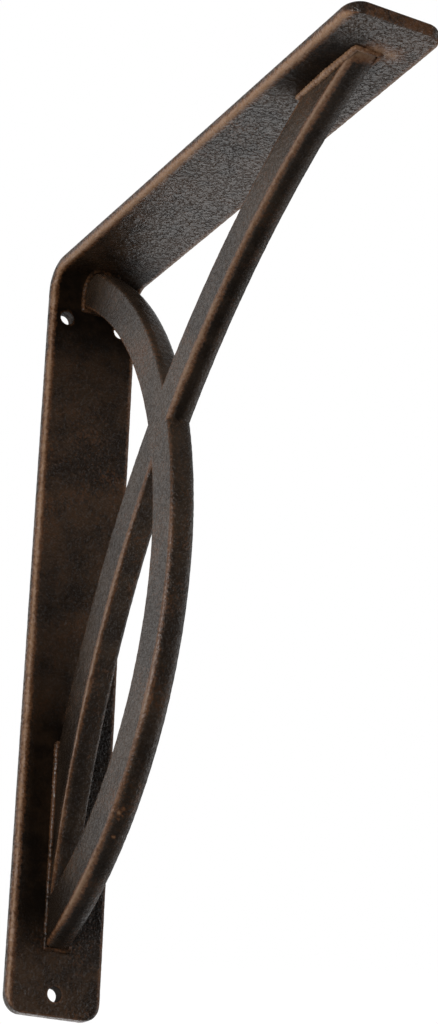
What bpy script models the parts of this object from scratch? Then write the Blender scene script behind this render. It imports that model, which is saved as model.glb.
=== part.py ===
"""Metal bracket: a flat bar bent to a right angle and stiffened by two crossed curved bars.

X runs across the bar, the wall is on the +Y side, and Z is up. The origin is at the middle of the wall face.
"""

import math

import bpy
from mathutils import Vector

# Driving sizes in metres

BAR_WIDTH = 0.0508
BAR_THICK = 0.00635
WALL_HEIGHT = 0.400
SHELF_DEPTH = 0.3048
BEND_RADIUS = 0.016
END_CORNER_RADIUS = 0.0093
BAR_EASE = 0.0026
END_EASE = 0.001

SCREW_HOLE_RADIUS = 0.0038
UPPER_HOLE_SPACING = 0.0317
UPPER_HOLE_BELOW_TOP = 0.031
LOWER_HOLE_ABOVE_END = 0.0109

BRACE_THICK = 0.013
BRACE_EASE = 0.0019
WELD_GAP = 0.0003

BOW_CENTRE_OUT = -0.0881
BOW_CENTRE_UP = 0.0169
BOW_OUTER_RADIUS = 0.2069
BOW_BAR = 0.0209

STRUT_CENTRE_OUT = 0.4385
STRUT_CENTRE_UP = -0.2117
STRUT_LOWER_RADIUS = 0.4355
STRUT_BAR = 0.0204

# The dark bronze coat

STRAP_COLOUR = (0.075, 0.058, 0.05)
BRACE_COLOUR = (0.09, 0.072, 0.064)
COAT_METALLIC = 0.55
COAT_ROUGHNESS = 0.5

# Smoothness of the rounded shapes

BEND_STEPS = 14
CORNER_STEPS = 7
EASE_STEPS = 4
BOW_UPPER_STEPS = 20
BOW_LOWER_STEPS = 26
STRUT_UPPER_STEPS = 16
STRUT_LOWER_STEPS = 18
HOLE_STEPS = 32
SMOOTH_BELOW = math.radians(35)

TOP = WALL_HEIGHT / 2
BOTTOM = -WALL_HEIGHT / 2
BEND_LENGTH = (BEND_RADIUS - BAR_THICK / 2) * math.pi / 2
WALL_STRAIGHT = WALL_HEIGHT - BEND_RADIUS
SHELF_STRAIGHT = SHELF_DEPTH - BEND_RADIUS
BAR_LENGTH = WALL_STRAIGHT + BEND_LENGTH + SHELF_STRAIGHT


def clear_scene():
    for thing in list(bpy.data.objects):
        bpy.data.objects.remove(thing, do_unlink=True)


def coated_steel(name, colour):
    material = bpy.data.materials.new(name)
    material.use_nodes = True
    shader = material.node_tree.nodes["Principled BSDF"]
    shader.inputs["Base Color"].default_value = (*colour, 1.0)
    shader.inputs["Metallic"].default_value = COAT_METALLIC
    shader.inputs["Roughness"].default_value = COAT_ROUGHNESS
    return material


def add_object(name, points, faces, material):
    mesh = bpy.data.meshes.new(name)
    mesh.from_pydata(points, [], faces)
    mesh.validate()
    mesh.materials.append(material)
    mesh.shade_smooth()
    mesh.set_sharp_from_angle(angle=SMOOTH_BELOW)
    thing = bpy.data.objects.new(name, mesh)
    bpy.context.scene.collection.objects.link(thing)
    return thing


def ease_levels(thickness, radius):
    """Depth through the thickness and inset of the outline, from one face to the other."""
    levels = []
    for step in range(EASE_STEPS + 1):
        angle = math.pi / 2 * step / EASE_STEPS
        levels.append((radius * (1 - math.cos(angle)), radius * (1 - math.sin(angle))))
    far_side = [(thickness - depth, inset) for depth, inset in reversed(levels)]
    return levels + far_side


def ring_faces(first, second, count):
    """Faces between two loops that start at these point numbers."""
    faces = []
    for i in range(count):
        after = (i + 1) % count
        faces.append((first + i, first + after, second + after, second + i))
    return faces


# The bent flat bar


def bar_rows(side, end):
    """Distance along the flat bar, half width and depth there, from the lower end to the front end.

    Side and end are one level of the rounding of the long edges and of the ends' edges. The end's
    smaller rounding passes over into that of the long edges round each corner.
    """
    side_depth, side_inset = side
    end_depth, end_inset = end
    shoulder = BAR_WIDTH / 2 - END_CORNER_RADIUS
    corner = []
    for step in range(CORNER_STEPS + 1):
        angle = math.pi / 2 * step / CORNER_STEPS
        along = END_CORNER_RADIUS - (END_CORNER_RADIUS - end_inset) * math.cos(angle)
        half = shoulder + (END_CORNER_RADIUS - side_inset) * math.sin(angle)
        depth = end_depth + (side_depth - end_depth) * math.sin(angle) ** 2
        corner.append((along, half, depth))
    half = BAR_WIDTH / 2 - side_inset
    bend = []
    for step in range(BEND_STEPS + 1):
        bend.append((WALL_STRAIGHT + BEND_LENGTH * step / BEND_STEPS, half, side_depth))
    front = [(BAR_LENGTH - along, width, depth) for along, width, depth in reversed(corner)]
    return corner + bend + front


def bar_point(x, along, depth):
    """A point of the flat bar carried onto its bent shape. Depth 0 is the wall and shelf side."""
    if along <= WALL_STRAIGHT:
        return (x, -depth, BOTTOM + along)
    past = along - WALL_STRAIGHT
    if past >= BEND_LENGTH:
        return (x, -BEND_RADIUS - (past - BEND_LENGTH), TOP - depth)
    angle = math.pi / 2 * past / BEND_LENGTH
    radius = BEND_RADIUS - depth
    out = BEND_RADIUS - radius * math.cos(angle)
    return (x, -out, TOP - BEND_RADIUS + radius * math.sin(angle))


def screw_cutter(name, x, z):
    """A round bar through the wall leg, longer than the leg is thick."""
    points = []
    for y in (-2 * BAR_THICK, BAR_THICK):
        for step in range(HOLE_STEPS):
            angle = 2 * math.pi * step / HOLE_STEPS
            across = x + SCREW_HOLE_RADIUS * math.cos(angle)
            points.append((across, y, z + SCREW_HOLE_RADIUS * math.sin(angle)))
    faces = ring_faces(HOLE_STEPS, 0, HOLE_STEPS)
    faces.append(tuple(range(HOLE_STEPS)))
    faces.append(tuple(reversed(range(HOLE_STEPS, 2 * HOLE_STEPS))))
    mesh = bpy.data.meshes.new(name)
    mesh.from_pydata(points, [], faces)
    cutter = bpy.data.objects.new(name, mesh)
    bpy.context.scene.collection.objects.link(cutter)
    cutter.hide_render = True
    cutter.display_type = "WIRE"
    return cutter


def make_bent_strap():
    points = []
    side_levels = ease_levels(BAR_THICK, BAR_EASE)
    end_levels = ease_levels(BAR_THICK, END_EASE)
    for side, end in zip(side_levels, end_levels):
        rows = bar_rows(side, end)
        points += [bar_point(half, along, depth) for along, half, depth in rows]
        points += [bar_point(-half, along, depth) for along, half, depth in reversed(rows)]
    rows_each_side = len(rows)
    ring = 2 * rows_each_side
    faces = []
    for level in range(len(side_levels) - 1):
        faces += ring_faces(level * ring, (level + 1) * ring, ring)
    front = (len(side_levels) - 1) * ring
    for row in range(rows_each_side - 1):
        right, left = row, ring - 1 - row
        faces.append((right, left, left - 1, right + 1))
        faces.append((front + right + 1, front + left - 1, front + left, front + right))
    strap = add_object("bent_strap", points, faces, coated_steel("strap_bronze", STRAP_COLOUR))
    spots = [
        ("upper_left_cutter", -UPPER_HOLE_SPACING / 2, TOP - UPPER_HOLE_BELOW_TOP),
        ("upper_right_cutter", UPPER_HOLE_SPACING / 2, TOP - UPPER_HOLE_BELOW_TOP),
        ("lower_cutter", 0.0, BOTTOM + LOWER_HOLE_ABOVE_END),
    ]
    for name, x, z in spots:
        cut = strap.modifiers.new(name, "BOOLEAN")
        cut.object = screw_cutter(name, x, z)
        cut.operation = "DIFFERENCE"
        cut.solver = "EXACT"
    return strap


# The crossed brace, drawn in the plane of the distance out from the wall and the height


BOW = Vector((BOW_CENTRE_OUT, BOW_CENTRE_UP))
STRUT = Vector((STRUT_CENTRE_OUT, STRUT_CENTRE_UP))
WALL_LINE = BAR_THICK + WELD_GAP
SHELF_LINE = TOP - BAR_THICK - WELD_GAP


def crossings(centre_a, radius_a, centre_b, radius_b):
    """The two points where two circles meet, the upper one first."""
    between = centre_b - centre_a
    distance = between.length
    along = (distance**2 + radius_a**2 - radius_b**2) / (2 * distance)
    aside = math.sqrt(radius_a**2 - along**2)
    unit = between / distance
    middle = centre_a + unit * along
    normal = Vector((-unit.y, unit.x))
    found = [middle + normal * aside, middle - normal * aside]
    return sorted(found, key=lambda point: -point.y)


def at_wall(centre, radius, upper):
    """The height where a circle crosses the line of the wall leg's front."""
    reach = math.sqrt(radius**2 - (WALL_LINE - centre.x) ** 2)
    return Vector((WALL_LINE, centre.y + (reach if upper else -reach)))


def at_shelf(centre, radius, side):
    """The point where a circle crosses the line of the shelf leg's underside."""
    reach = math.sqrt(radius**2 - (SHELF_LINE - centre.y) ** 2)
    return Vector((centre.x + side * reach, SHELF_LINE))


def arc(centre, start, end, steps):
    """Points in even steps from start up to end, the radius changing evenly if theirs differ."""
    first = math.atan2(start.y - centre.y, start.x - centre.x)
    last = math.atan2(end.y - centre.y, end.x - centre.x)
    turn = (last - first + math.pi) % (2 * math.pi) - math.pi
    radius = (start - centre).length
    growth = (end - centre).length - radius
    points = []
    for i in range(steps):
        angle = first + turn * i / steps
        direction = Vector((math.cos(angle), math.sin(angle)))
        points.append(centre + (radius + growth * i / steps) * direction)
    return points


def corner_arc():
    """The brace's back upper corner, which follows the inside of the flat bar's bend."""
    centre = Vector((BEND_RADIUS, TOP - BEND_RADIUS))
    radius = BEND_RADIUS - WALL_LINE
    points = []
    for i in range(CORNER_STEPS + 1):
        angle = math.pi - math.pi / 2 * i / CORNER_STEPS
        points.append(centre + radius * Vector((math.cos(angle), math.sin(angle))))
    return points


def brace_points(inset):
    """The outline of the crossed brace, then that of the gap between its bars, drawn in by the inset."""
    bow_out = BOW_OUTER_RADIUS - inset
    bow_in = BOW_OUTER_RADIUS - BOW_BAR + inset
    strut_low = STRUT_LOWER_RADIUS + inset
    strut_up = STRUT_LOWER_RADIUS + STRUT_BAR - inset
    front_top = crossings(BOW, bow_out, STRUT, strut_up)[0]
    front_low = crossings(BOW, bow_out, STRUT, strut_low)[0]
    back_top = crossings(BOW, bow_in, STRUT, strut_up)[0]
    gap_top = crossings(BOW, bow_in, STRUT, strut_low)[0]
    gap_low = crossings(BOW, BOW_OUTER_RADIUS - BOW_BAR, STRUT, STRUT_LOWER_RADIUS)[1]
    points = corner_arc()
    points += arc(BOW, at_shelf(BOW, bow_out, 1), front_top, BOW_UPPER_STEPS)
    points += arc(STRUT, front_top, at_shelf(STRUT, strut_up, -1), STRUT_UPPER_STEPS)
    points.append(at_shelf(STRUT, strut_up, -1))
    points += arc(STRUT, at_shelf(STRUT, strut_low, -1), front_low, STRUT_UPPER_STEPS)
    points += arc(BOW, front_low, at_wall(BOW, bow_out, False), BOW_LOWER_STEPS)
    points.append(at_wall(BOW, bow_out, False))
    points += arc(STRUT, at_wall(STRUT, strut_up, True), back_top, STRUT_LOWER_STEPS)
    points += arc(BOW, back_top, at_wall(BOW, bow_in, True), BOW_UPPER_STEPS)
    points.append(at_wall(BOW, bow_in, True))
    points += arc(STRUT, gap_top, gap_low, STRUT_LOWER_STEPS)
    points += arc(BOW, gap_low, gap_top, BOW_LOWER_STEPS)
    return points


def brace_side_faces():
    """Faces of one flat side by point number, and the number of points in the outer outline."""
    shelf_back = CORNER_STEPS + 1
    front_top = shelf_back + BOW_UPPER_STEPS
    shelf_front = front_top + STRUT_UPPER_STEPS + 1
    front_low = shelf_front + STRUT_UPPER_STEPS
    wall_low = front_low + BOW_LOWER_STEPS
    wall_high = wall_low + 1
    back_top = wall_high + STRUT_LOWER_STEPS
    wall_top = back_top + BOW_UPPER_STEPS
    gap_top = wall_top + 1
    gap_low = gap_top + STRUT_LOWER_STEPS
    gap_end = gap_low + BOW_LOWER_STEPS
    faces = [(wall_top, *range(shelf_back + 1))]
    faces.append((front_top, front_low, gap_top, back_top))
    faces.append((gap_low, wall_low, wall_high))
    for i in range(BOW_UPPER_STEPS):
        outer, inner = shelf_back + i, wall_top - i
        faces.append((outer, outer + 1, inner - 1, inner))
    for i in range(STRUT_UPPER_STEPS):
        upper, lower = front_top + i, front_low - i
        faces.append((upper, upper + 1, lower - 1, lower))
    for i in range(BOW_LOWER_STEPS):
        outer, inner = front_low + i, gap_end - i
        faces.append((outer, outer + 1, inner - 1, inner if i else gap_top))
    for i in range(STRUT_LOWER_STEPS):
        upper, lower = back_top - i, gap_top + i
        faces.append((upper - 1, upper, lower, lower + 1))
    return faces, gap_top


def make_crossed_brace():
    points = []
    levels = ease_levels(BRACE_THICK, BRACE_EASE)
    for depth, inset in levels:
        x = depth - BRACE_THICK / 2
        points += [(x, -spot.x, spot.y) for spot in brace_points(inset)]
    side, outer = brace_side_faces()
    ring = len(points) // len(levels)
    faces = []
    for level in range(len(levels) - 1):
        low, high = level * ring, (level + 1) * ring
        faces += ring_faces(low, high, outer)
        faces += ring_faces(low + outer, high + outer, ring - outer)
    far = (len(levels) - 1) * ring
    faces += [tuple(reversed(face)) for face in side]
    faces += [tuple(far + corner for corner in face) for face in side]
    return add_object("crossed_brace", points, faces, coated_steel("brace_bronze", BRACE_COLOUR))


clear_scene()
make_bent_strap()
make_crossed_brace()
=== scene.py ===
import math

import bmesh
import bpy
import numpy as np
from mathutils import Matrix, Vector


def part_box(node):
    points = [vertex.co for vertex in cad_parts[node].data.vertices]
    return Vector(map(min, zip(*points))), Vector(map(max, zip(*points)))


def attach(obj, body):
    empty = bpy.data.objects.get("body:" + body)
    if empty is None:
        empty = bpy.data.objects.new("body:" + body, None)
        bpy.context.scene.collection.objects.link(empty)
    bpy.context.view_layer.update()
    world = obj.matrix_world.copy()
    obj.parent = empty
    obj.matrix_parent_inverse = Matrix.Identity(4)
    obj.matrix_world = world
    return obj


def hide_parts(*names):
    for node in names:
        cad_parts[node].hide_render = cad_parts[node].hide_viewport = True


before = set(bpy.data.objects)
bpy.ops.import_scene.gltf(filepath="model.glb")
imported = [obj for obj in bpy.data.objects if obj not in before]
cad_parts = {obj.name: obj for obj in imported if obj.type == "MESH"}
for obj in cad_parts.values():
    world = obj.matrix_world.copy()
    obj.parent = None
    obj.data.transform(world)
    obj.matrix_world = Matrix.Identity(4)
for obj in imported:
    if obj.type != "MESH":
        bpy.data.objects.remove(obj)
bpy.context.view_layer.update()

# The bent strap
# One flat steel bar bent to a right angle, ground round at its corners and edges, and drilled for three
# screws in its wall leg. Its wrinkled dark bronze coat is rubbed back to copper along the edges.

STRAP_LOW, STRAP_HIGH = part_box("bent_strap")
BAR_WIDTH = STRAP_HIGH.x - STRAP_LOW.x
TOP, BOTTOM = STRAP_HIGH.z, STRAP_LOW.z
SHELF_DEPTH = -STRAP_LOW.y
BAR_THICK = 0.00635
TO_FRONT = np.array([0, -BAR_THICK, 0])
BEND_RADIUS = 0.016
BEND_START = TOP - BOTTOM - BEND_RADIUS
BEND_LENGTH = (BEND_RADIUS - BAR_THICK / 2) * math.pi / 2
BAR_LENGTH = BEND_START + BEND_LENGTH + SHELF_DEPTH - BEND_RADIUS
END_CORNER_RADIUS = 0.0093
BAR_EASE = 0.0026
END_EASE = 0.001
SCREW_HOLE_RADIUS = 0.0036
SCREW_HOLE_LIP = 0.0003
UPPER_HOLE_SPACING = 0.0317
UPPER_HOLE_BELOW_TOP = 0.031
UPPER_HOLE_FIELD = 0.0072
LOWER_HOLE_ABOVE_END = 0.0109
LOWER_HOLE_FIELD = 0.0065
MESH_STEP = 0.001
CORNER_STEPS = 14
EASE_STEPS = 5
EDGE_STEPS = 2
BORE_STEPS = 5
LIP_STEPS = 3
FIELD_STEPS = 4
SEWING_REACH = 2e-6
SHARP_ANGLE = math.radians(40)

# Wear is how far the copper reaches from the line rubbed most, which lies this share of the way round
# each edge. Below nothing the coat is only rubbed thin, and at UNWORN it is whole.
WORN_LINE = 0.4
UNWORN = -0.01
WALL_EDGE_WEAR = 0.0016
SHELF_EDGE_WEAR = 0.0026
WEAR_CHANGE_LENGTH = 0.05
# Copper cut back on the right edges, as painted shade where the light from the left misses them
RIGHT_EDGE_SHADE_CUT = 0.0006
END_WEAR = -0.0012
END_FACE_WEAR = -0.0006
BACK_WEAR = 0.0002
HOLE_WEAR = -0.0004

# The spatter's wear at its middle, its place out along the shelf leg and across, and how it fades
SPATTER_WEAR = 0.0015
SPATTER_OUT = 0.282
SPATTER_ACROSS = 0.006
SPATTER_HALF_WIDTH = 0.004
SPATTER_FADE = 0.32

# Painted shade and soot: 0 on a clean coat and 1 on a black and dull one. Here it is painted shade on the
# right rim, in the bores and in the inside corner, the brace's painted shadow low on the wall leg and the
# strut's painted dark reflection under the shelf leg. A pair of lists holds places and the share there.
RIGHT_RIM_SHADE = 0.8
UPPER_BORE_SHADE = 0.65
LOWER_BORE_SHADE = 0.9
CORNER_SHADE = 1.1
CORNER_SHADE_BELOW_BEND = 0.002
CORNER_SHADE_SPREAD = 0.048
BRACE_SHADOW_UP = ([0.02, 0.05, 0.14, 0.26], [0.0, 1.0, 1.0, 0.0])
BRACE_SHADOW_ACROSS = ([-0.0245, -0.018, -0.004, 0.004, 0.012], [0.5, 0.95, 0.95, 0.5, 0.0])
STRUT_REFLECTION_OUT = ([0.222, 0.236, 0.275, 0.29], [0.0, 1.0, 1.0, 0.0])
STRUT_REFLECTION_ACROSS = ([-0.022, -0.016, 0.0, 0.012], [0.6, 0.8, 0.8, 0.0])

# The coat's wrinkles: their size and depth, and the levels of noise between which the mesh sinks and
# the creases take painted shade, a matt coat without reflection
WRINKLE = 0.0024
WRINKLE_DEPTH = 0.00012
WRINKLE_LEVELS = (0.68, 0.35)
CREASE_LEVELS = (0.05, 0.01)

# The coat's patterns, from clouds down to grain, and the levels of noise between which they show
CLOUD = 0.06
RUST = 0.03
MOTTLE = 0.012
FLECK = 0.0016
GRAIN = 0.0012
MOTTLE_LEVELS = (0.42, 0.56)
RUST_LEVELS = (0.53, 0.63)

# How far the rim of the copper wanders, the wear at which the coat begins to turn amber or copper and
# is wholly so, then the coat's relief and how rough its grain and its rubbing make it
RAGGED = 0.002
AMBER_WEAR = (-0.0016, 0.0006)
COPPER_WEAR = (0.0, 0.0018)
COAT_RELIEF = 0.0007
COAT_ROUGHNESS = 0.18
GRAIN_ROUGHNESS = 0.16
RUBBED_ROUGHNESS = 0.12
COAT_IOR = 1.5

UMBER = (0.046, 0.025, 0.013, 1)
SMOKE = (0.017, 0.0103, 0.0063, 1)
SHADE_AND_SOOT_BLACK = (0.005, 0.0035, 0.0025, 1)
RUSSET = (0.078, 0.034, 0.015, 1)
AMBER = (0.115, 0.05, 0.022, 1)
COPPER = (0.25, 0.142, 0.078, 1)


class Wire:
    """A socket of a node tree. Python arithmetic on it adds the Math nodes that work it out."""

    def __init__(self, tree, socket=None):
        self.tree = tree
        self.socket = socket

    def node(self, kind, settings=(), sockets=(), output=0):
        """Adds a node of this kind: its settings first, then its sockets from values or wires."""
        made = self.tree.nodes.new(kind)
        for name, value in dict(settings).items():
            setattr(made, name, value)
        for name, value in dict(sockets).items():
            if isinstance(value, Wire):
                self.tree.links.new(value.socket, made.inputs[name])
            else:
                made.inputs[name].default_value = value
        return Wire(self.tree, made.outputs[output] if made.outputs else None)

    def math(self, operation, *values):
        """A Math node on these values."""
        return self.node("ShaderNodeMath", {"operation": operation}, enumerate(values))

    def __add__(self, other):
        return self.math("ADD", self, other)

    def __radd__(self, other):
        return self.math("ADD", other, self)

    def __sub__(self, other):
        return self.math("SUBTRACT", self, other)

    def __rsub__(self, other):
        return self.math("SUBTRACT", other, self)

    def __mul__(self, other):
        return self.math("MULTIPLY", self, other)

    def __rmul__(self, other):
        return self.math("MULTIPLY", other, self)

    def __truediv__(self, other):
        return self.math("DIVIDE", self, other)

    def __rtruediv__(self, other):
        return self.math("DIVIDE", other, self)

    def rise(self, low, high):
        """0 at the low value, 1 at the high one, and smooth between them."""
        sockets = {"Value": self, "From Min": low, "From Max": high}
        return self.node("ShaderNodeMapRange", {"interpolation_type": "SMOOTHSTEP"}, sockets)

    def colours(self, first, second):
        """The first colour where this wire is 0, and the second where it is 1."""
        return self.node("ShaderNodeMix", {"data_type": "RGBA"}, {0: self, 6: first, 7: second}, 2)


class Skin:
    """A surface laid in patches of quads, with how worn the coat is and how much painted shade and soot
    darken it at each point.
    """

    def __init__(self):
        self.points = []
        self.wear = []
        self.shade_and_soot = []
        self.faces = []
        self.count = 0

    def patch(self, points, wear, shade_and_soot=0.0, keep=None, flip=False):
        """Adds rows of points. A quad's corners run along its first row and back along the next."""
        rows, columns = points.shape[:2]
        index = self.count + np.arange(rows * columns).reshape(rows, columns)
        corners = [index[:-1, :-1], index[:-1, 1:], index[1:, 1:], index[1:, :-1]]
        quads = np.stack(corners[::-1] if flip else corners, axis=-1)
        self.faces.append(quads.reshape(-1, 4) if keep is None else quads[keep])
        self.points.append(points.reshape(-1, 3))
        self.wear.append(np.broadcast_to(wear, (rows, columns)).reshape(-1))
        self.shade_and_soot.append(np.broadcast_to(shade_and_soot, (rows, columns)).reshape(-1))
        self.count += rows * columns

    def make(self, name):
        """The patches sewn into one closed mesh."""
        mesh = bpy.data.meshes.new(name)
        mesh.from_pydata(np.concatenate(self.points), [], np.concatenate(self.faces))
        for label, values in (("wear", self.wear), ("shade_and_soot", self.shade_and_soot)):
            layer = mesh.attributes.new(label, "FLOAT", "POINT")
            layer.data.foreach_set("value", np.concatenate(values))
        sewing = bmesh.new()
        sewing.from_mesh(mesh)
        loose = [point for point in sewing.verts if not point.link_faces]
        bmesh.ops.delete(sewing, geom=loose, context="VERTS")
        bmesh.ops.remove_doubles(sewing, verts=sewing.verts, dist=SEWING_REACH)
        sewing.to_mesh(mesh)
        sewing.free()
        thing = bpy.data.objects.new(name, mesh)
        bpy.context.scene.collection.objects.link(thing)
        return thing


def ease_levels(thickness, radius, reach, flat_steps):
    """Depth, inset and way round the section, from one flat side over both rounded edges to the other.

    Each edge is rounded by the radius on the flat side, and by the reach on the rim.
    """
    turn = np.linspace(0, math.pi / 2, EASE_STEPS + 1)
    depth, inset = reach * (1 - np.cos(turn)), radius * (1 - np.sin(turn))
    way = np.append(0, np.cumsum(np.hypot(np.diff(depth), np.diff(inset))))
    flat = thickness - 2 * reach
    middle = flat * np.arange(1, flat_steps) / flat_steps
    depths = np.concatenate([depth, reach + middle, thickness - depth[::-1]])
    insets = np.concatenate([inset, 0 * middle, inset[::-1]])
    ways = np.concatenate([way, way[-1] + middle, 2 * way[-1] + flat - way[::-1]])
    return list(zip(depths, insets, ways))


def bar_rows(side, end):
    """Distance along the flat bar, half its width, depth and share of side, for rows from end to end.

    Side and end are one level of the rounding of the long edges and of the ends. Round a corner the
    one passes over into the other.
    """
    turn = np.linspace(0, math.pi / 2, CORNER_STEPS + 1)
    corner_along = END_CORNER_RADIUS - (END_CORNER_RADIUS - end[1]) * np.cos(turn)
    corner_half = BAR_WIDTH / 2 - END_CORNER_RADIUS + (END_CORNER_RADIUS - side[1]) * np.sin(turn)
    corner_share = np.sin(turn) ** 2
    straight = BAR_LENGTH - 2 * END_CORNER_RADIUS
    steps = round(straight / MESH_STEP)
    middle = END_CORNER_RADIUS + straight * np.arange(1, steps) / steps
    along = np.concatenate([corner_along, middle, BAR_LENGTH - corner_along[::-1]])
    half = np.concatenate([corner_half, np.full(steps - 1, BAR_WIDTH / 2 - side[1]), corner_half[::-1]])
    share = np.concatenate([corner_share, np.ones(steps - 1), corner_share[::-1]])
    depth = end[0] + (side[0] - end[0]) * share
    return along[:, None], half[:, None], depth[:, None], share[:, None]


def standing(x, along, depth):
    """Points of the bar before it is bent, standing against the wall. Depth 0 is the wall side."""
    x, along, depth = np.broadcast_arrays(x, along, depth)
    return np.stack([x, -depth, BOTTOM + along], axis=-1)


def loop_of(grid):
    """The outline of a grid, from its first corner along the first row and round."""
    sides = [grid[0, :-1], grid[:-1, -1], grid[-1, :0:-1], grid[:0:-1, 0]]
    return np.concatenate([*sides, grid[:1, 0]])


def edge_wear(columns, along, share):
    """The front edges' wear: most on the shelf leg, less on the right as painted shade, and least at the
    ends.
    """
    change = [BEND_START, BEND_START + WEAR_CHANGE_LENGTH]
    left = np.interp(along, change, [WALL_EDGE_WEAR, SHELF_EDGE_WEAR])
    # Less copper on the right edges: painted shade
    reach = left - RIGHT_EDGE_SHADE_CUT * (columns > 0)
    return END_WEAR + share * (reach - END_WEAR)


def shelf_out(along):
    """How far out from the wall a place along the shelf leg is."""
    return along - BEND_START - BEND_LENGTH + BEND_RADIUS


def spatter(x, along):
    """The wear that the weld at the brace's front end left round it on the shelf leg's underside."""
    beside = np.maximum(abs(x - SPATTER_ACROSS) - SPATTER_HALF_WIDTH, 0)
    return SPATTER_WEAR - SPATTER_FADE * np.hypot(beside, shelf_out(along) - SPATTER_OUT)


def face_painted_shade(x, along):
    """Painted shade in the inside corner, the brace's painted shadow beside its foot and the strut's
    painted dark reflection beside its top end under the shelf leg, more on the left.
    """
    from_corner = along - BEND_START + CORNER_SHADE_BELOW_BEND
    # Painted shade in the inside corner
    corner = CORNER_SHADE * np.exp(-((from_corner / CORNER_SHADE_SPREAD) ** 2))
    # Painted shadow of the brace on the wall leg, left of its foot
    low = np.interp(along, *BRACE_SHADOW_UP) * np.interp(x, *BRACE_SHADOW_ACROSS)
    # Painted dark reflection of the strut in the shelf leg's underside, left of its top end
    front = np.interp(shelf_out(along), *STRUT_REFLECTION_OUT) * np.interp(x, *STRUT_REFLECTION_ACROSS)
    return np.maximum(corner, np.maximum(low, front))


def drill(skin, block, centre, bore_shade):
    """Lays one screw hole: the front round it, its lips and bore, and the back round it.

    Block is the piece of the bar's back face that the hole takes the place of.
    """
    edge = loop_of(block)
    away = edge - centre
    away /= np.linalg.norm(away, axis=1)[:, None]
    lip = centre + away * (SCREW_HOLE_RADIUS + SCREW_HOLE_LIP)
    towards = np.linspace(0, 1, FIELD_STEPS + 1)[:, None]
    front = TO_FRONT + edge + (lip - edge) * towards[..., None]
    front_wear = HOLE_WEAR - np.linalg.norm(lip - edge, axis=1) * (1 - towards)
    front_shade = face_painted_shade(front[..., 0], front[..., 2] - BOTTOM)
    bore = ease_levels(BAR_THICK, SCREW_HOLE_LIP, SCREW_HOLE_LIP, BORE_STEPS)[::-1]
    bore = bore[EASE_STEPS - LIP_STEPS : LIP_STEPS - EASE_STEPS]
    wall = [centre + away * (SCREW_HOLE_RADIUS + inset) - [0, depth, 0] for depth, inset, _ in bore]
    back = edge + (lip - edge) * towards[::-1, :, None]
    points = np.concatenate([front, wall, back])
    wear = np.full(points.shape[:2], UNWORN)
    wear[: len(front)] = front_wear
    shade_and_soot = np.zeros(points.shape[:2])
    shade_and_soot[: len(front)] = front_shade
    # The bore is painted in shade
    shade_and_soot[len(front) : len(front) + len(bore)] = bore_shade
    skin.patch(points, wear, shade_and_soot)


def strap_skin():
    """The whole bar, standing straight: its two faces, its rim and its screw holes."""
    skin = Skin()
    columns = np.linspace(-1, 1, round((BAR_WIDTH - 2 * BAR_EASE) / MESH_STEP) + 1)
    side_levels = ease_levels(BAR_THICK, BAR_EASE, BAR_EASE, EDGE_STEPS)
    end_levels = ease_levels(BAR_THICK, END_EASE, END_EASE, EDGE_STEPS)
    along, half, depth, share = bar_rows(side_levels[0], end_levels[0])
    x = columns * half
    face = standing(x, along, 0.0)
    worn_line = BAR_EASE * math.pi / 2 * WORN_LINE
    face_wear = edge_wear(columns, along, share) - worn_line - half * (1 - abs(columns))
    face_wear = np.maximum(face_wear, spatter(x, along))
    keep = np.ones((len(along) - 1, len(columns) - 1), bool)
    upper = TOP - BOTTOM - UPPER_HOLE_BELOW_TOP
    holes = [
        (-UPPER_HOLE_SPACING / 2, upper, UPPER_HOLE_FIELD, UPPER_BORE_SHADE),
        (UPPER_HOLE_SPACING / 2, upper, UPPER_HOLE_FIELD, UPPER_BORE_SHADE),
        (0.0, LOWER_HOLE_ABOVE_END, LOWER_HOLE_FIELD, LOWER_BORE_SHADE),
    ]
    for hole_x, height, field, bore_shade in holes:
        rows = np.flatnonzero(abs(along[:, 0] - height) <= field)
        across = np.flatnonzero(abs(columns * BAR_WIDTH / 2 - hole_x) <= field)
        first, last, left, right = rows[0], rows[-1], across[0], across[-1]
        keep[first:last, left:right] = False
        block = face[first : last + 1, left : right + 1]
        drill(skin, block, standing(hole_x, height, 0.0), bore_shade)
    skin.patch(face + TO_FRONT, face_wear, face_painted_shade(x, along), keep)
    skin.patch(face, UNWORN, 0.0, keep, flip=True)
    rim, rim_wear = [], []
    for side, end in zip(side_levels, end_levels):
        along, half, depth, share = bar_rows(side, end)
        rim.append(loop_of(standing(columns * half, along, depth)))
        from_back = abs(side[2] - worn_line)
        from_front = abs(side_levels[-1][2] - side[2] - worn_line)
        front_wear = edge_wear(columns, along, share) - from_front
        end_wear = END_FACE_WEAR + share * (UNWORN - END_FACE_WEAR)
        rim_wear.append(loop_of(np.maximum(np.maximum(front_wear, end_wear), BACK_WEAR - from_back)))
    rim = np.array(rim)
    # Painted shade on the right rim, which the light from the left misses
    right_side = [BAR_WIDTH / 2 - BAR_EASE, BAR_WIDTH / 2]
    skin.patch(rim, np.array(rim_wear), np.interp(rim[..., 0], right_side, [0.0, RIGHT_RIM_SHADE]))
    return skin


def new_tree(name, sizes):
    """A Geometry Nodes tree with a mesh and these named sizes as inputs, and the wires of its inputs."""
    tree = bpy.data.node_groups.new(name, "GeometryNodeTree")
    tree.interface.new_socket("Mesh", in_out="INPUT", socket_type="NodeSocketGeometry")
    for label in sizes:
        tree.interface.new_socket(label, in_out="INPUT", socket_type="NodeSocketFloat")
    tree.interface.new_socket("Material", in_out="INPUT", socket_type="NodeSocketMaterial")
    tree.interface.new_socket("Mesh", in_out="OUTPUT", socket_type="NodeSocketGeometry")
    entry = tree.nodes.new("NodeGroupInput")
    return {socket.name: Wire(tree, socket) for socket in entry.outputs if socket.name}


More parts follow.
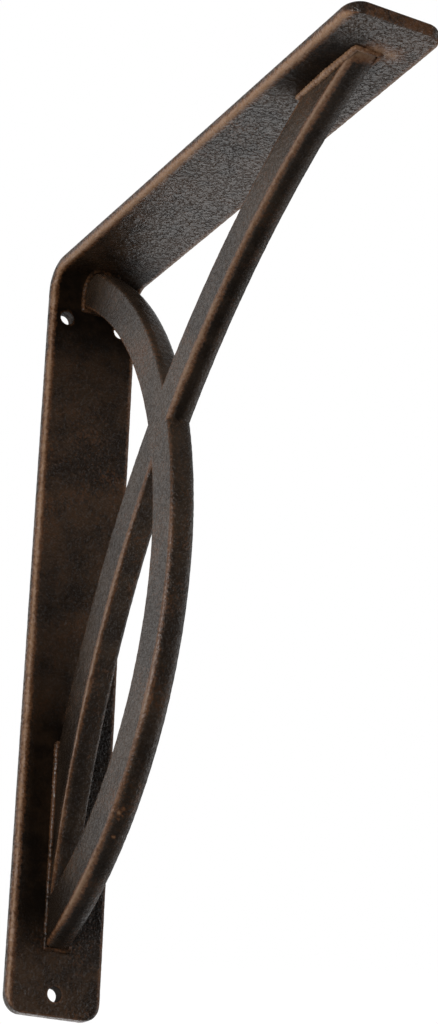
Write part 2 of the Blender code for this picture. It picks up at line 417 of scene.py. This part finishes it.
def end_tree(mesh, material):
    """Realizes the tree's geometry, gives it its material and sends it out."""
    solid = mesh.node("GeometryNodeRealizeInstances", (), {"Geometry": mesh})
    coated = mesh.node("GeometryNodeSetMaterial", (), {"Geometry": solid, "Material": material})
    mesh.node("NodeGroupOutput", (), {"Mesh": coated})
    return mesh.tree


def run_tree(thing, tree, inputs):
    """Gives the object the mesh that the tree makes of it, as a plain smooth mesh."""
    modifier = thing.modifiers.new(tree.name, "NODES")
    modifier.node_group = tree
    for socket in tree.interface.items_tree:
        if socket.in_out == "INPUT" and socket.name in inputs:
            modifier[socket.identifier] = inputs[socket.name]
    graph = bpy.context.evaluated_depsgraph_get()
    bare = thing.evaluated_get(graph)
    made = bpy.data.meshes.new_from_object(bare, preserve_all_data_layers=True, depsgraph=graph)
    thing.modifiers.remove(modifier)
    thing.data = made
    made.shade_smooth()
    made.set_sharp_from_angle(angle=SHARP_ANGLE)


def wrinkled(mesh, wrinkle, depth, share):
    """Sinks the mesh a little between the wrinkles of the coat. Nothing is raised."""
    normal = mesh.node("GeometryNodeInputNormal")
    cells = {"Scale": 1 / wrinkle, "Detail": 2.0, "Roughness": 0.6}
    lumps = mesh.node("ShaderNodeTexNoise", (), cells)
    sink = share * depth * lumps.rise(*WRINKLE_LEVELS)
    length = mesh.node("ShaderNodeVectorMath", {"operation": "SCALE"}, {0: normal, "Scale": -1 * sink})
    return mesh.node("GeometryNodeSetPosition", (), {"Geometry": mesh, "Offset": length})


def bending_tree():
    """Bends the standing bar over at its top, as round a former, and wrinkles its coat."""
    sizes = ["Bar thickness", "Bend start", "Bend radius", "Bend length", "Wrinkle", "Wrinkle depth"]
    inputs = new_tree("bend_bar", sizes)
    mesh, start, radius = inputs["Mesh"], inputs["Bend start"], inputs["Bend radius"]
    place = mesh.node("GeometryNodeInputPosition")
    parts = mesh.node("ShaderNodeSeparateXYZ", (), {0: place})
    x, y, z = (Wire(mesh.tree, socket) for socket in parts.socket.node.outputs)
    past = z - start
    share = past / inputs["Bend length"]
    turn = share.node("ShaderNodeClamp", (), {"Value": share}) * (math.pi / 2)
    below = past.math("MINIMUM", past, 0.0)
    beyond = past.math("MAXIMUM", past - inputs["Bend length"], 0.0)
    arm = radius + y
    out = radius - arm * turn.math("COSINE", turn) + beyond
    up = start + arm * turn.math("SINE", turn) + below
    bent = mesh.node("ShaderNodeCombineXYZ", (), {"X": x, "Y": -1 * out, "Z": up})
    openness = (-1 * y).rise(0.0, inputs["Bar thickness"] / 2)
    kept = mesh.node(
        "GeometryNodeStoreNamedAttribute",
        {"data_type": "FLOAT", "domain": "POINT"},
        {"Geometry": mesh, "Name": "open_side", "Value": openness},
    )
    moved = mesh.node("GeometryNodeSetPosition", (), {"Geometry": kept, "Position": bent})
    side = mesh.node("GeometryNodeInputNamedAttribute", {"data_type": "FLOAT"}, {"Name": "open_side"})
    return end_tree(wrinkled(moved, inputs["Wrinkle"], inputs["Wrinkle depth"], side), inputs["Material"])


def aged_bronze(name, light, dark, rubbed, wrinkle_relief):
    """A dark bronze coat, wrinkled and mottled, black and matt under painted shade and soot, matt in its
    creases as painted shade, and copper where it is worn.
    """
    material = bpy.data.materials.new(name)
    material.use_nodes = True
    material.node_tree.nodes.clear()
    bare = Wire(material.node_tree)
    place = bare.node("ShaderNodeTexCoord", output="Object")

    def clouds(size, detail=3.0, roughness=0.6):
        sockets = {"Vector": place, "Scale": 1 / size, "Detail": detail, "Roughness": roughness}
        return bare.node("ShaderNodeTexNoise", (), sockets)

    wear = bare.node("ShaderNodeAttribute", {"attribute_name": "wear"}, output="Fac")
    shade_and_soot = bare.node("ShaderNodeAttribute", {"attribute_name": "shade_and_soot"}, output="Fac")
    broad, patches, flecks = clouds(CLOUD), clouds(MOTTLE), clouds(FLECK, roughness=0.65)
    tone = broad * 0.45 + patches * 0.3 + flecks * 0.25
    colour = tone.rise(*MOTTLE_LEVELS).colours(dark, light)
    rusty = clouds(RUST, detail=4.0) * 0.5 + flecks * 0.5
    colour = (rusty.rise(*RUST_LEVELS) * 0.8).colours(colour, RUSSET)
    # Painted shade and soot blacken the coat here
    colour = (shade_and_soot * (1.3 - patches * 0.8)).colours(colour, SHADE_AND_SOOT_BLACK)
    ragged = wear + (broad - 0.5) * RAGGED + (patches - 0.5) * RAGGED
    ragged = ragged + (flecks - 0.5) * (2 * RAGGED)
    colour = (ragged.rise(*AMBER_WEAR) * 0.9).colours(colour, AMBER)
    rub = ragged.rise(*COPPER_WEAR)
    colour = rub.colours(colour, rubbed)
    grain = clouds(GRAIN, detail=2.0)
    wrinkles = clouds(WRINKLE, roughness=0.55) - 0.5
    # The crease lines dip the bump and take painted shade below
    crease = wrinkles.math("ABSOLUTE", wrinkles).rise(*CREASE_LEVELS) * wrinkle_relief
    height = wrinkles * wrinkle_relief - crease * 0.15 + grain * 0.3
    relief = bare.node("ShaderNodeBump", (), {"Strength": 1.0, "Distance": COAT_RELIEF, "Height": height})
    rough = grain * GRAIN_ROUGHNESS + rub * RUBBED_ROUGHNESS + COAT_ROUGHNESS
    coat = bare.node(
        "ShaderNodeBsdfPrincipled",
        (),
        {"Base Color": colour, "Roughness": rough, "IOR": COAT_IOR, "Normal": relief},
    )
    matt = bare.node(
        "ShaderNodeBsdfPrincipled",
        (),
        {"Base Color": colour, "Roughness": 1.0, "Specular IOR Level": 0.0},
    )
    # Painted shade: under the shade and soot mask and along the creases the coat turns to a matt copy
    # without reflection
    shade_mix = bare.math("MAXIMUM", shade_and_soot, crease * 0.85)
    finish = bare.node("ShaderNodeMixShader", (), {0: shade_mix, 1: coat, 2: matt})
    bare.node("ShaderNodeOutputMaterial", (), {"Surface": finish})
    return material


strap = strap_skin().make("bronze_strap")
run_tree(
    strap,
    bending_tree(),
    {
        "Bar thickness": BAR_THICK,
        "Bend start": BOTTOM + BEND_START,
        "Bend radius": BEND_RADIUS,
        "Bend length": BEND_LENGTH,
        "Wrinkle": WRINKLE,
        "Wrinkle depth": WRINKLE_DEPTH,
        "Material": aged_bronze("strap_coat", UMBER, SMOKE, COPPER, 1.0),
    },
)
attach(strap, "root")
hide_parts("bent_strap")

# The crossed brace
# Two curved steel bars, a bow and a strut, joined flush where they cross, ground round at their edges
# and welded on edge along the strap's middle. They have the same coat, rubbed to copper in places.

BRACE_LOW, BRACE_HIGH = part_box("crossed_brace")
BRACE_THICK = BRACE_HIGH.x - BRACE_LOW.x
BRACE_EASE = 0.0019
RIM_EASE_REACH = 0.005
WALL_LINE = -BRACE_HIGH.y
SHELF_LINE = BRACE_HIGH.z
BOW = Vector((-0.0881, 0.0169))
BOW_OUTER_RADIUS = 0.2069
BOW_BAR = 0.0209
STRUT = Vector((0.4385, -0.2117))
STRUT_LOWER_RADIUS = 0.4355
STRUT_BAR = 0.0204
INSIDE_CORNER = Vector((BEND_RADIUS, TOP - BEND_RADIUS))
INSIDE_CORNER_STEPS = 18
BOW_UPPER_STEPS = 130
STRUT_UPPER_STEPS = 165
BOW_LOWER_STEPS = 270
STRUT_LOWER_STEPS = 200
ACROSS_STEPS = 18
FOOT_STEPS = 12
BRACE_WORN_LINE = 0.3
# Copper cut back on the right side and the gap's right edge, as painted shade where the light from the
# left misses
BRACE_RIGHT_SHADE_CUT = 0.0032
GAP_RIGHT_SHADE_CUT = 0.0018
STRUT_END_WEAR = 0.0024
STRUT_END_FADE = 0.42
BRACE_LIGHT = (0.044, 0.029, 0.019, 1)
BRACE_DARK = (0.023, 0.015, 0.01, 1)
BRACE_COPPER = (0.18, 0.106, 0.06, 1)

# The wear of each stretch of the outline, at even places along it
BRACE_WEAR = {
    "corner": [UNWORN],
    "bow_shelf": [UNWORN],
    "bow_front": [-0.0008],
    "strut_top": [0.0004, 0.0004, 0.0012],
    "strut_shelf": [UNWORN],
    "strut_under": [0.002, 0.0018, 0.001, 0.0014, 0.002, 0.0012],
    "bow_under": [
        -0.0002, -0.0003, 0.0002, 0.0008, 0.0008, 0.0012, 0.0014,
        0.0006, 0.0004, 0.001, 0.0022, 0.002, 0.0002,
    ],
    "low_wall": [UNWORN],
    "strut_back": [0.0002],
    "bow_back": [0.0002],
    "bow_wall": [UNWORN],
    "gap_strut": [0.0004, 0.001, 0.0018, 0.0014, 0.0018, 0.0012, 0.0012, 0.0014],
    "gap_bow": [0.0, 0.0002, 0.0],
}

# The painted shade of the rim on the stretches that have any, at even places along each
BRACE_RIM_SHADE = {
    "strut_under": [0.6, 0.8, 0.8],
    "bow_under": [0.0, 0.0, 0.3, 0.6, 0.7, 0.7],
    "gap_strut": [0.0, 0.0, 0.2, 0.4, 0.6, 0.6],
}

# Pairs of places and the share there: of painted shade over the rim's width from the left, of dull weld
# smear from the strut's end, then of painted shade on the flat sides from the inside corner, by height at
# the foot and low on the strut, and in from the strut's lower edge
RIM_SHADE_ACROSS = ([0.0022, 0.0036, 0.007, 0.0105], [0.0, 1.0, 1.0, 0.0])
STRUT_END_SOOT = ([0.004, 0.012], [0.6, 0.0])
SIDE_CORNER_SHADE = ([0.012, 0.034], [0.55, 0.0])
SIDE_FOOT_SHADE = ([-0.165, -0.125], [0.75, 0.0])
SIDE_STRUT_SHADE = ([-0.09, -0.03], [0.8, 0.0])
STRUT_EDGE_SHADE = ([0.0, 0.004], [0.0, 1.0])

# Small chips low on the bow's front: place across, height and wear in the middle, then how it fades
CHIPS = [
    (-0.0028, -0.1141, 0.003),
    (-0.0012, -0.1122, 0.0022),
    (-0.0008, -0.1151, 0.0016),
    (-0.0022, -0.1168, 0.0018),
    (-0.001, -0.1238, 0.0028),
]
CHIP_FADE = 3.0


def crossings(centre_a, radius_a, centre_b, radius_b):
    """The two points where two circles meet, the upper one first."""
    apart = centre_b - centre_a
    distance = apart.length
    along = (distance**2 + radius_a**2 - radius_b**2) / (2 * distance)
    aside = math.sqrt(radius_a**2 - along**2)
    unit = apart / distance
    middle = centre_a + unit * along
    normal = Vector((-unit.y, unit.x))
    return sorted([middle + normal * aside, middle - normal * aside], key=lambda point: -point.y)


def at_wall(centre, radius, upper):
    """The point where a circle meets the line on which the brace ends at the wall leg."""
    reach = math.sqrt(radius**2 - (WALL_LINE - centre.x) ** 2)
    return Vector((WALL_LINE, centre.y + (reach if upper else -reach)))


def at_shelf(centre, radius, side):
    """The point where a circle meets the line on which the brace ends under the shelf leg."""
    reach = math.sqrt(radius**2 - (SHELF_LINE - centre.y) ** 2)
    return Vector((centre.x + side * reach, SHELF_LINE))


def arc(centre, start, end, steps):
    """Points in even steps from start to end, both with it. The radius changes evenly if theirs differ."""
    first = math.atan2(start.y - centre.y, start.x - centre.x)
    last = math.atan2(end.y - centre.y, end.x - centre.x)
    turn = (last - first + math.pi) % (2 * math.pi) - math.pi
    share = np.linspace(0, 1, steps + 1)
    angle = first + turn * share
    radius = (start - centre).length + ((end - centre).length - (start - centre).length) * share
    return np.array(centre) + radius[:, None] * np.stack([np.cos(angle), np.sin(angle)], axis=1)


def straight_line(start, end, steps):
    """Points in even steps from start to end, both with it."""
    share = np.linspace(0, 1, steps + 1)[:, None]
    return np.array(start) * (1 - share) + np.array(end) * share


def brace_lines(inset):
    """The outline's stretches by name, each drawn in by the inset, in distance out and height."""
    bow_out = BOW_OUTER_RADIUS - inset
    bow_in = BOW_OUTER_RADIUS - BOW_BAR + inset
    low = STRUT_LOWER_RADIUS + inset
    high = STRUT_LOWER_RADIUS + STRUT_BAR - inset
    corner_wall = Vector((WALL_LINE, INSIDE_CORNER.y))
    corner_shelf = Vector((INSIDE_CORNER.x, SHELF_LINE))
    bow_at_shelf = at_shelf(BOW, bow_out, 1)
    strut_at_shelf, strut_end = at_shelf(STRUT, high, -1), at_shelf(STRUT, low, -1)
    bow_at_wall, bow_end = at_wall(BOW, bow_in, True), at_wall(BOW, bow_out, False)
    strut_at_wall = at_wall(STRUT, high, True)
    front_top = crossings(BOW, bow_out, STRUT, high)[0]
    front_low = crossings(BOW, bow_out, STRUT, low)[0]
    back_top = crossings(BOW, bow_in, STRUT, high)[0]
    gap_top = crossings(BOW, bow_in, STRUT, low)[0]
    gap_low = crossings(BOW, BOW_OUTER_RADIUS - BOW_BAR, STRUT, STRUT_LOWER_RADIUS)[1]
    return {
        "corner": arc(INSIDE_CORNER, corner_wall, corner_shelf, INSIDE_CORNER_STEPS),
        "bow_shelf": straight_line(corner_shelf, bow_at_shelf, FOOT_STEPS),
        "bow_front": arc(BOW, bow_at_shelf, front_top, BOW_UPPER_STEPS),
        "strut_top": arc(STRUT, front_top, strut_at_shelf, STRUT_UPPER_STEPS),
        "strut_shelf": straight_line(strut_at_shelf, strut_end, ACROSS_STEPS),
        "strut_under": arc(STRUT, strut_end, front_low, STRUT_UPPER_STEPS),
        "bow_under": arc(BOW, front_low, bow_end, BOW_LOWER_STEPS),
        "low_wall": straight_line(bow_end, strut_at_wall, FOOT_STEPS),
        "strut_back": arc(STRUT, strut_at_wall, back_top, STRUT_LOWER_STEPS),
        "bow_back": arc(BOW, back_top, bow_at_wall, BOW_UPPER_STEPS),
        "bow_wall": straight_line(bow_at_wall, corner_wall, FOOT_STEPS),
        "gap_strut": arc(STRUT, gap_top, gap_low, STRUT_LOWER_STEPS),
        "gap_bow": arc(BOW, gap_low, gap_top, BOW_LOWER_STEPS),
    }


def spread(given, count):
    """The given values, at even places, spread over this many points."""
    return np.interp(np.linspace(0, 1, count), np.linspace(0, 1, len(given)), given)


def in_space(x, spots):
    """Points given as distance out and height, at this place across the bracket."""
    return np.stack([np.full(spots.shape[:-1], x), -spots[..., 0], spots[..., 1]], axis=-1)


def ruled(first, second, steps):
    """A patch of straight rows from one line of points to another."""
    share = np.linspace(0, 1, steps + 1)[:, None, None]
    return first * (1 - share) + second * share


def filled(bottom, top, left, right):
    """A patch that fills four lines. Left and right run from bottom to top."""
    u = np.linspace(0, 1, len(bottom))[None, :, None]
    v = np.linspace(0, 1, len(left))[:, None, None]
    lines = bottom * (1 - v) + top * v + left[:, None] * (1 - u) + right[:, None] * u
    corners = (
        bottom[0] * (1 - u) * (1 - v)
        + bottom[-1] * u * (1 - v)
        + top[0] * (1 - u) * v
        + top[-1] * u * v
    )
    return lines - corners


def bar_patch(lines, first, second, width, worn_line):
    """One bar's flat side between two stretches that run against each other, and its wear."""
    spots = ruled(lines[first], lines[second][::-1], ACROSS_STEPS)
    share = np.linspace(0, 1, ACROSS_STEPS + 1)[:, None]
    count = spots.shape[1]
    first_wear = spread(BRACE_WEAR[first], count) - share * width
    second_wear = spread(BRACE_WEAR[second], count)[::-1] - (1 - share) * width
    return spots, np.maximum(first_wear, second_wear) - worn_line


def side_painted_shade(spots):
    """The painted shade of the flat sides: beside the inside corner, at the foot and low on the strut."""
    from_corner = np.linalg.norm(spots - [WALL_LINE, SHELF_LINE], axis=-1)
    corner = np.interp(from_corner, *SIDE_CORNER_SHADE)
    foot = np.interp(spots[..., 1], *SIDE_FOOT_SHADE)
    past_edge = np.linalg.norm(spots - np.array(STRUT), axis=-1) - STRUT_LOWER_RADIUS
    strut = np.interp(spots[..., 1], *SIDE_STRUT_SHADE) * np.interp(past_edge, *STRUT_EDGE_SHADE)
    return np.maximum(corner, np.maximum(foot, strut))


def chip_wear(points):
    """The wear of the small chips at points of the rim."""
    wears = []
    for across, height, wear in CHIPS:
        out = BOW.x + math.sqrt(BOW_OUTER_RADIUS**2 - (height - BOW.y) ** 2)
        wears.append(wear - CHIP_FADE * np.linalg.norm(points - [across, -out, height], axis=-1))
    return np.max(wears, axis=0)


def side_patches(worn_line):
    """One flat side in patches, with the wear at each point."""
    lines = brace_lines(BRACE_EASE)

    def seam(first, second):
        return straight_line(first, second, ACROSS_STEPS)

    crossing_low = seam(lines["strut_under"][-1], lines["gap_strut"][0])
    crossing_top = seam(lines["bow_front"][-1], lines["bow_back"][0])
    crossing_front = seam(lines["bow_front"][-1], lines["strut_under"][-1])
    crossing_back = seam(lines["bow_back"][0], lines["gap_strut"][0])
    head_seam = seam(lines["bow_wall"][0], lines["bow_shelf"][-1])
    foot_low = seam(lines["gap_bow"][0], lines["bow_under"][-1])
    foot_high = seam(lines["gap_bow"][0], lines["strut_back"][0])
    return [
        bar_patch(lines, "bow_front", "bow_back", BOW_BAR, worn_line),
        bar_patch(lines, "strut_top", "strut_under", STRUT_BAR, worn_line),
        bar_patch(lines, "bow_under", "gap_bow", BOW_BAR, worn_line),
        bar_patch(lines, "gap_strut", "strut_back", STRUT_BAR, worn_line),
        (filled(crossing_front, crossing_back, crossing_top, crossing_low), UNWORN),
        (filled(head_seam, lines["corner"], lines["bow_wall"], lines["bow_shelf"][::-1]), UNWORN),
        (ruled(foot_low, foot_high, FOOT_STEPS), UNWORN),
    ]


def brace_skin():
    """The brace's two flat sides, its rim, and the rim of the gap between its bars."""
    skin = Skin()
    worn_line = BRACE_EASE * math.pi / 2 * BRACE_WORN_LINE
    for side in (-1, 1):
        for spots, wear in side_patches(worn_line):
            along, across = spots[:-1, 1:] - spots[:-1, :-1], spots[1:, :-1] - spots[:-1, :-1]
            turns = (along[..., 0] * across[..., 1] - along[..., 1] * across[..., 0]).sum()
            # The right side's copper is cut back as painted shade
            shade_cut = BRACE_RIGHT_SHADE_CUT if side > 0 else 0.0
            points = in_space(side * BRACE_THICK / 2, spots)
            skin.patch(points, wear - shade_cut, side_painted_shade(spots), flip=(turns < 0) == (side < 0))
    strut_end = at_shelf(STRUT, STRUT_LOWER_RADIUS, -1)
    gap_names = ["gap_strut", "gap_bow"]
    rim_names = [name for name in BRACE_WEAR if name not in gap_names]
    outlines = ((rim_names, RIM_EASE_REACH, BRACE_RIGHT_SHADE_CUT), (gap_names, BRACE_EASE, GAP_RIGHT_SHADE_CUT))
    for names, ease_reach, right_shade_cut in outlines:
        flat_steps = round((BRACE_THICK - 2 * ease_reach) / MESH_STEP)
        levels = ease_levels(BRACE_THICK, BRACE_EASE, ease_reach, flat_steps)
        rings, wears, rim_shade_and_smear = [], [], []
        for depth, inset, way in levels:
            lines = brace_lines(inset)
            spots = np.concatenate([lines[name] for name in names])
            ring = in_space(depth - BRACE_THICK / 2, spots)
            reach = np.concatenate([spread(BRACE_WEAR[name], len(lines[name])) for name in names])
            # The right edge's copper is cut back as painted shade
            from_edge = min(abs(way - worn_line), abs(levels[-1][2] - way - worn_line) + right_shade_cut)
            from_end = np.linalg.norm(spots - np.array(strut_end), axis=1)
            marks = np.maximum(STRUT_END_WEAR - STRUT_END_FADE * from_end, chip_wear(ring))
            # Painted shade on the rims that face down and into the gap, in a band across the rim
            dark = [spread(BRACE_RIM_SHADE.get(name, [0.0]), len(lines[name])) for name in names]
            dark = np.concatenate(dark) * np.interp(depth, *RIM_SHADE_ACROSS)
            smear = np.interp(from_end, *STRUT_END_SOOT)
            # The flat sides' painted shade, carried onto the rounded edges
            sides = side_painted_shade(spots) * np.interp(inset, [0, BRACE_EASE], [0, 1])
            rings.append(ring)
            wears.append(np.maximum(reach - from_edge, marks))
            rim_shade_and_smear.append(np.maximum(np.maximum(dark, smear), sides))
        skin.patch(np.array(rings), np.array(wears), np.array(rim_shade_and_smear))
    return skin


def wrinkling_tree():
    """Sinks the coat between its wrinkles, all over."""
    inputs = new_tree("wrinkle_coat", ["Wrinkle", "Wrinkle depth"])
    mesh = wrinkled(inputs["Mesh"], inputs["Wrinkle"], inputs["Wrinkle depth"], 1.0)
    return end_tree(mesh, inputs["Material"])


brace = brace_skin().make("bronze_brace")
run_tree(
    brace,
    wrinkling_tree(),
    {
        "Wrinkle": WRINKLE,
        "Wrinkle depth": WRINKLE_DEPTH,
        "Material": aged_bronze("brace_coat", BRACE_LIGHT, BRACE_DARK, BRACE_COPPER, 0.5),
    },
)
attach(brace, "root")
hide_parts("crossed_brace")

# The weld beads
# Beads of weld metal, laid by hand all round each place where the brace meets the strap, which they
# fix to it. They are rippled, uneven and coated with the rest, and the front one is rubbed to copper.

BEAD_OFF_SIDE = 0.0003
BEAD_PAST_END = 0.0008
BEAD_STEP = 0.0007
BEAD_RIPPLE = 0.1
BEAD_PITCH = 0.0023
BEAD_LUMPS = 0.0007
BEAD_SIDES = 10

# Each foot's stretches, then its bead's thickness, wear and painted shade, at even places along its left
# side, across its end and back along its right side
BEADS = [
    (
        ["bow_wall", "corner", "bow_shelf"],
        [0.0014, 0.0014, 0.0012, 0.0012],
        [-0.0008, -0.0014, -0.0014, -0.0012],
        [0.7, 1.0, 0.9, 0.9],
    ),
    (
        ["low_wall"],
        [0.001, 0.0015, 0.0007, 0.001],
        [-0.0008, -0.0005, -0.0011, -0.001],
        [0.6, 0.0, 0.6, 0.6],
    ),
    (
        ["strut_shelf"],
        [0.0014, 0.0023, 0.0014, 0.0013, 0.001, 0.0008, 0.0008],
        [0.0008, 0.0011, 0.0009, 0.0008, 0.0004, -0.0006, -0.0006],
        [0.0, 0.0, 0.4, 0.6, 0.6, 0.4, 0.0],
    ),
]


def bead_loop(names, *given):
    """A closed line round one foot of the brace, and these values spread over its points."""
    lines = brace_lines(0.0)
    foot = np.concatenate([lines[name] for name in names])
    foot = foot[np.append(True, np.linalg.norm(np.diff(foot, axis=0), axis=1) > SEWING_REACH)]
    start, end = foot[0] - foot[1], foot[-1] - foot[-2]
    start = foot[0] + start / np.linalg.norm(start) * BEAD_PAST_END
    end = foot[-1] + end / np.linalg.norm(end) * BEAD_PAST_END
    foot = np.concatenate([[start], foot, [end]])
    side = BRACE_THICK / 2 + BEAD_OFF_SIDE
    points = np.concatenate([in_space(-side, foot), in_space(side, foot[::-1])])
    share = np.concatenate([np.linspace(0, 1, len(foot)), np.linspace(2, 3, len(foot))])
    return points, [np.interp(share, np.linspace(0, 3, len(values)), values).tolist() for values in given]


def bead_paths():
    """The beads' lines as one mesh of edges, with their thickness, wear and painted shade."""
    points, thickness, wear, shade_and_soot, edges = [], [], [], [], []
    for names, *given in BEADS:
        loop, (loop_thickness, loop_wear, loop_shade) = bead_loop(names, *given)
        first = len(points)
        points += loop.tolist()
        thickness += loop_thickness
        wear += loop_wear
        shade_and_soot += loop_shade
        edges += [(first + i, first + (i + 1) % len(loop)) for i in range(len(loop))]
    mesh = bpy.data.meshes.new("weld_beads")
    mesh.from_pydata(points, edges, [])
    for label, values in (("thick", thickness), ("wear", wear), ("shade_and_soot", shade_and_soot)):
        mesh.attributes.new(label, "FLOAT", "POINT").data.foreach_set("value", values)
    thing = bpy.data.objects.new("weld_beads", mesh)
    bpy.context.scene.collection.objects.link(thing)
    return thing


def bead_tree():
    """Draws a round out along each line, as thick as its points say, rippled and lumpy."""
    inputs = new_tree("weld_bead", ["Step", "Ripple", "Ripple pitch", "Lumps"])
    mesh = inputs["Mesh"]
    curve = mesh.node("GeometryNodeMeshToCurve", (), {"Mesh": mesh})
    steps = {"Curve": curve, "Length": inputs["Step"]}
    even = mesh.node("GeometryNodeResampleCurve", {"mode": "LENGTH"}, steps)
    thick = mesh.node("GeometryNodeInputNamedAttribute", {"data_type": "FLOAT"}, {"Name": "thick"})
    run = mesh.node("GeometryNodeSplineParameter", output="Length")
    wave = run.math("SINE", run / inputs["Ripple pitch"] * (2 * math.pi))
    section = {"Resolution": BEAD_SIDES, "Radius": 1.0}
    ring = mesh.node("GeometryNodeCurvePrimitiveCircle", {"mode": "RADIUS"}, section)
    sizes = {"Curve": even, "Profile Curve": ring, "Scale": thick * (1 + wave * inputs["Ripple"])}
    bead = mesh.node("GeometryNodeCurveToMesh", (), sizes)
    normal = mesh.node("GeometryNodeInputNormal")
    noise = mesh.node("ShaderNodeTexNoise", (), {"Scale": 1 / inputs["Ripple pitch"], "Detail": 2.0})
    lump = {0: normal, "Scale": (noise - 0.5) * inputs["Lumps"]}
    offset = mesh.node("ShaderNodeVectorMath", {"operation": "SCALE"}, lump)
    uneven = mesh.node("GeometryNodeSetPosition", (), {"Geometry": bead, "Offset": offset})
    return end_tree(uneven, inputs["Material"])


beads = bead_paths()
run_tree(
    beads,
    bead_tree(),
    {
        "Step": BEAD_STEP,
        "Ripple": BEAD_RIPPLE,
        "Ripple pitch": BEAD_PITCH,
        "Lumps": BEAD_LUMPS,
        "Material": aged_bronze("weld_coat", UMBER, SMOKE, COPPER, 0.4),
    },
)
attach(beads, "root")

# The floor
# A plain pale board laid as the studio's floor, well below the bracket, which hangs from its wall leg.
# It is out of the camera's sight, with the white backdrop beyond its edges.

FLOOR_HEIGHT = -2.4
FLOOR_REACH = 1.2
FLOOR_ROUGHNESS = 0.7
PALE = (0.82, 0.82, 0.81, 1)

corners = [(-1, -1), (1, -1), (1, 1), (-1, 1)]
floor_mesh = bpy.data.meshes.new("studio_floor")
places = [(x * FLOOR_REACH, y * FLOOR_REACH, FLOOR_HEIGHT) for x, y in corners]
floor_mesh.from_pydata(places, [], [(0, 1, 2, 3)])
floor = bpy.data.objects.new("studio_floor", floor_mesh)
bpy.context.scene.collection.objects.link(floor)
pale = bpy.data.materials.new("pale_floor")
pale.use_nodes = True
pale.node_tree.nodes.clear()
paint = {"Base Color": PALE, "Roughness": FLOOR_ROUGHNESS}
painted = Wire(pale.node_tree).node("ShaderNodeBsdfPrincipled", (), paint)
painted.node("ShaderNodeOutputMaterial", (), {"Surface": painted})
floor_mesh.materials.append(pale)

# The studio light
# A white backdrop behind the bracket, brighter lower down, a white card at its right, and a dim room in
# front and below. A large soft light left of the camera catches the left edges and misses the right ones.

BACKDROP_LIGHT = 1.17
LOWER_LIGHT = 0.92
ROOM_LIGHT = 0.02
CARD_LIGHT = 1.3
SOFTBOX_SIZE = 1.4
SOFTBOX_POWER = 42.0
SOFTBOX_PLACE = Vector((-1.7, -1.5, -0.2))

# Where each part of the studio begins to glow and where it glows in full, as a part of the direction
# to the back, to the right or up
BACKDROP_FROM_FRONT = (-0.1, 0.3)
BACKDROP_FROM_RIGHT = (0.9, 0.65)
CARD_FROM_LEFT = (0.7, 0.88)
CARD_FROM_BACK = (0.25, 0.0)
ABOVE_FLOOR = (-0.8, -0.5)
CEILING = (0.7, 1.0)

world = bpy.data.worlds.new("studio")
world.use_nodes = True
world.node_tree.nodes.clear()
sky = Wire(world.node_tree)
direction = sky.node("ShaderNodeTexCoord", output="Generated")
beside = sky.node("ShaderNodeSeparateXYZ", (), {0: direction}, "X")
behind = sky.node("ShaderNodeSeparateXYZ", (), {0: direction}, "Y")
above = sky.node("ShaderNodeSeparateXYZ", (), {0: direction}, "Z")
backdrop = behind.rise(*BACKDROP_FROM_FRONT) * beside.rise(*BACKDROP_FROM_RIGHT)
card = beside.rise(*CARD_FROM_LEFT) * behind.rise(*CARD_FROM_BACK) * CARD_LIGHT
white = sky.math("MAXIMUM", (backdrop + card) * above.rise(*ABOVE_FLOOR), above.rise(*CEILING))
seen = sky.node("ShaderNodeLightPath", output="Is Camera Ray")
strength = sky.math("MAXIMUM", white * (BACKDROP_LIGHT - above * LOWER_LIGHT) + ROOM_LIGHT, seen)
glow = sky.node("ShaderNodeBackground", (), {"Color": (1, 1, 1, 1), "Strength": strength})
sky.node("ShaderNodeOutputWorld", (), {"Surface": glow})
bpy.context.scene.world = world

softbox = bpy.data.lights.new("left_softbox", "AREA")
softbox.shape = "SQUARE"
softbox.size = SOFTBOX_SIZE
softbox.energy = SOFTBOX_POWER
softbox_stand = bpy.data.objects.new("left_softbox", softbox)
softbox_stand.location = SOFTBOX_PLACE
softbox_stand.rotation_euler = (-SOFTBOX_PLACE).to_track_quat("-Z", "Y").to_euler()
softbox_stand.visible_camera = False
bpy.context.scene.collection.objects.link(softbox_stand)

# The camera
# A long lens that looks up at the bracket from below its shelf leg, from in front and from its left,
# turned a little on its own axis, as the photograph was taken. It is placed from the strap's top.

CAMERA_AZIMUTH = math.radians(-28.482)
CAMERA_ELEVATION = math.radians(-21.962)
CAMERA_ROLL = math.radians(2.135)
CAMERA_DISTANCE = 1.373258
CAMERA_ASIDE = 0.068818
CAMERA_LIFT = -0.126495
CAMERA_LENS = 89.303
SENSOR_WIDTH = 36

level = math.cos(CAMERA_ELEVATION)
back = Vector(
    (
        math.sin(CAMERA_AZIMUTH) * level,
        -math.cos(CAMERA_AZIMUTH) * level,
        math.sin(CAMERA_ELEVATION),
    )
)
flat_right = Vector((0, 0, 1)).cross(back).normalized()
flat_up = back.cross(flat_right)
right = math.cos(CAMERA_ROLL) * flat_right + math.sin(CAMERA_ROLL) * flat_up
up = math.cos(CAMERA_ROLL) * flat_up - math.sin(CAMERA_ROLL) * flat_right
eye = Vector((0, 0, TOP)) + back * CAMERA_DISTANCE + right * CAMERA_ASIDE + up * CAMERA_LIFT
camera = bpy.data.objects.new("camera", bpy.data.cameras.new("camera"))
camera.data.lens = CAMERA_LENS
camera.data.sensor_width = SENSOR_WIDTH
camera.matrix_world = Matrix.Translation(eye) @ Matrix((right, up, back)).transposed().to_4x4()
bpy.context.scene.collection.objects.link(camera)
bpy.context.scene.camera = camera
bpy.context.scene.view_settings.view_transform = "Standard"
